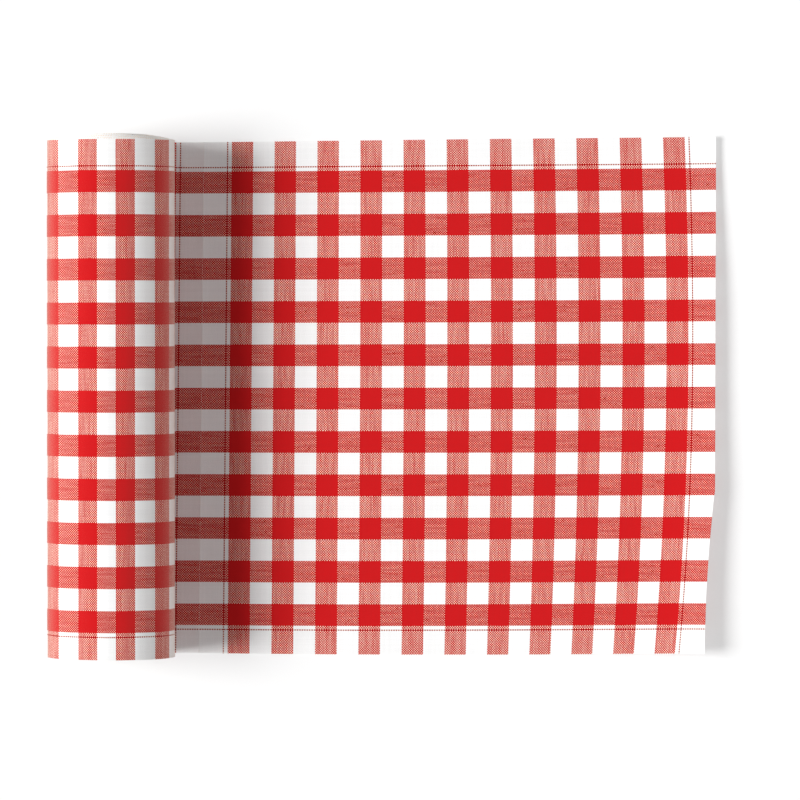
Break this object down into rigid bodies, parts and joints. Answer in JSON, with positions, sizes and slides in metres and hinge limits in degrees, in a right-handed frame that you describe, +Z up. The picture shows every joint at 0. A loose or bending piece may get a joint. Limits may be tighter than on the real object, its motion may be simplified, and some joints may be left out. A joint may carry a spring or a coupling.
{
  "type": "roll of tear-off cotton napkins",
  "caption": "Roll of tear-off gingham cotton napkins on a card core, the first square napkin laid flat and one corner lifting; the roll rolls up, the napkin tears off and folds.",
  "frame": {"origin": "under the middle of the whole object's box, on the surface it lies on", "axes": "+X from the roll towards the free edge of the laid napkin, +Y along the roll's axis, +Z up"},
  "size_m": [0.2588, 0.202, 0.05],
  "materials": {
    "gingham_cotton": "plain-woven cotton, red and white check, matte",
    "card": "spirally wound plain grey-brown card, matte"
  },
  "bodies": {
    "lead": {"napkin_02_lead": "gingham_cotton"},
    "core": {"core_tube": "card"},
    "roll": {"napkin_02_wound": "gingham_cotton", "napkin_03": "gingham_cotton", "napkin_04": "gingham_cotton", "napkin_05": "gingham_cotton", "napkin_06": "gingham_cotton", "napkin_07": "gingham_cotton", "napkin_08": "gingham_cotton", "napkin_09": "gingham_cotton", "napkin_10": "gingham_cotton", "napkin_11": "gingham_cotton", "napkin_12": "gingham_cotton", "napkin_13": "gingham_cotton", "napkin_14": "gingham_cotton", "napkin_15": "gingham_cotton", "napkin_16": "gingham_cotton", "napkin_17": "gingham_cotton", "napkin_18": "gingham_cotton", "napkin_19": "gingham_cotton", "napkin_20": "gingham_cotton", "napkin_21": "gingham_cotton", "napkin_22": "gingham_cotton", "napkin_23": "gingham_cotton", "napkin_24": "gingham_cotton", "napkin_25": "gingham_cotton"},
    "napkin_near": {"napkin_01_near_half": "gingham_cotton"},
    "napkin_far": {"napkin_01_far_half": "gingham_cotton"}
  },
  "joints": [
    {"name": "roll_travel", "type": "slide", "parent": "lead", "child": "core", "axis": [1, 0, 0], "range_m": [0, 0.028]},
    {"name": "roll_spin", "type": "hinge", "parent": "core", "child": "roll", "pos_m": [-0.10445, -0.001, 0.02515], "axis": [0, 1, 0], "range_deg": [0, 65]},
    {"name": "tear_off", "type": "slide", "parent": "lead", "child": "napkin_near", "axis": [1, 0, 0], "range_m": [0, 0.1]},
    {"name": "napkin_fold", "type": "hinge", "parent": "napkin_near", "child": "napkin_far", "pos_m": [0.02945, -0.001, 0.00028], "axis": [0, -1, 0], "range_deg": [0, 135]}
  ],
  "couplings": [
    {"joint": "roll_spin", "follows": "roll_travel", "rad_per_m": 40}
  ]
}
